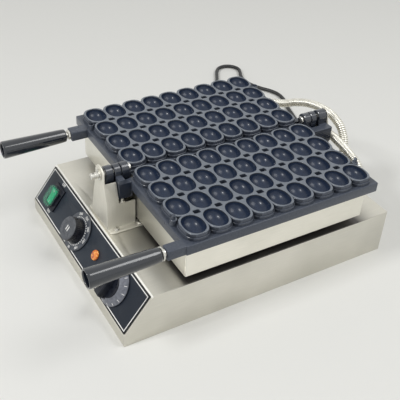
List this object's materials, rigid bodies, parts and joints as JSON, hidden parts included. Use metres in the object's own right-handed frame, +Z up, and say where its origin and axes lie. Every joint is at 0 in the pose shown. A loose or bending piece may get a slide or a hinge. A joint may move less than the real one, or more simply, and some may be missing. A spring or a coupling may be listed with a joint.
{
  "type": "commercial waffle maker",
  "caption": "Countertop waffle iron with two cast halves of oval cavities, hinged side by side on brackets over a sloped control base.",
  "frame": {"origin": "middle of the base's underside, where it rests on the counter", "axes": "+Z up, -Y towards the control panel and the handles, +X towards the near half; the hinge line runs along Y"},
  "size_m": [0.6034, 0.5825, 0.156],
  "materials": {
    "stainless": "brushed",
    "fascia_print": "satin print",
    "black_plastic": "satin",
    "clear_boot": "clear",
    "green_lens": "translucent",
    "amber_lens": "translucent",
    "ceramic": "unglazed",
    "plated_steel": "zinc plated",
    "cast_coating": "dark non-stick coating",
    "phenolic": "polished",
    "conduit": "ribbed strip",
    "element_sheath": "heat stained",
    "mineral_wool": "felted",
    "rubber": "matt"
  },
  "bodies": {
    "base": {"base_shell": "stainless", "bottom_plate": "stainless", "control_fascia": "fascia_print", "switch_housing": "black_plastic", "switch_boot": "clear_boot", "thermostat_body": "ceramic", "timer_body": "ceramic", "pilot_lens": "amber_lens", "pilot_body": "black_plastic", "terminal_block": "ceramic", "front_bracket": "stainless", "rear_bracket": "stainless", "bracket_screw_1": "plated_steel", "bracket_screw_2": "plated_steel", "bracket_screw_3": "plated_steel", "bracket_screw_4": "plated_steel", "bracket_screw_5": "plated_steel", "bracket_screw_6": "plated_steel", "bracket_screw_7": "plated_steel", "bracket_screw_8": "plated_steel", "front_hinge_bolt": "plated_steel", "rear_hinge_bolt": "plated_steel", "front_bolt_clip": "plated_steel", "rear_bolt_clip": "plated_steel", "far_base_gland": "plated_steel", "near_base_gland": "plated_steel", "far_conduit": "conduit", "near_conduit": "conduit", "cord_relief": "rubber", "cord_run": "rubber", "cord_coil": "rubber", "mains_plug": "rubber"},
    "near_half": {"near_mould": "cast_coating", "near_cover": "stainless", "near_element": "element_sheath", "near_blanket": "mineral_wool", "near_front_stop": "plated_steel", "near_rear_stop": "plated_steel", "near_stud": "plated_steel", "near_grip": "phenolic", "near_ferrule": "plated_steel", "near_cover_gland": "plated_steel"},
    "far_half": {"far_mould": "cast_coating", "far_cover": "stainless", "far_element": "element_sheath", "far_blanket": "mineral_wool", "far_front_stop": "plated_steel", "far_rear_stop": "plated_steel", "far_stud": "plated_steel", "far_grip": "phenolic", "far_lock_nut": "plated_steel", "far_cover_gland": "plated_steel"},
    "thermostat_control": {"thermostat_knob": "black_plastic", "thermostat_shaft": "plated_steel"},
    "timer_control": {"timer_knob": "black_plastic", "timer_shaft": "plated_steel"},
    "rocker": {"switch_rocker": "green_lens"}
  },
  "joints": [
    {"name": "near_half_hinge", "type": "hinge", "parent": "base", "child": "near_half", "pos_m": [0, 0.0167, 0.143], "axis": [0, 1, 0], "range_deg": [-180, 0], "deforming": ["near_conduit"]},
    {"name": "far_half_hinge", "type": "hinge", "parent": "base", "child": "far_half", "pos_m": [0, 0.0167, 0.143], "axis": [0, 1, 0], "range_deg": [0, 180], "deforming": ["far_conduit"]},
    {"name": "thermostat_turn", "type": "hinge", "parent": "base", "child": "thermostat_control", "pos_m": [-0.024, -0.18126, 0.04199], "axis": [0, 0.7965, -0.6046], "range_deg": [0, 270]},
    {"name": "timer_turn", "type": "hinge", "parent": "base", "child": "timer_control", "pos_m": [0.093, -0.18186, 0.0412], "axis": [0, 0.7965, -0.6046], "range_deg": [0, 300]},
    {"name": "rocker_tip", "type": "hinge", "parent": "base", "child": "rocker", "pos_m": [-0.1086, -0.18685, 0.04736], "axis": [1, 0, 0], "range_deg": [-12, 0]}
  ]
}
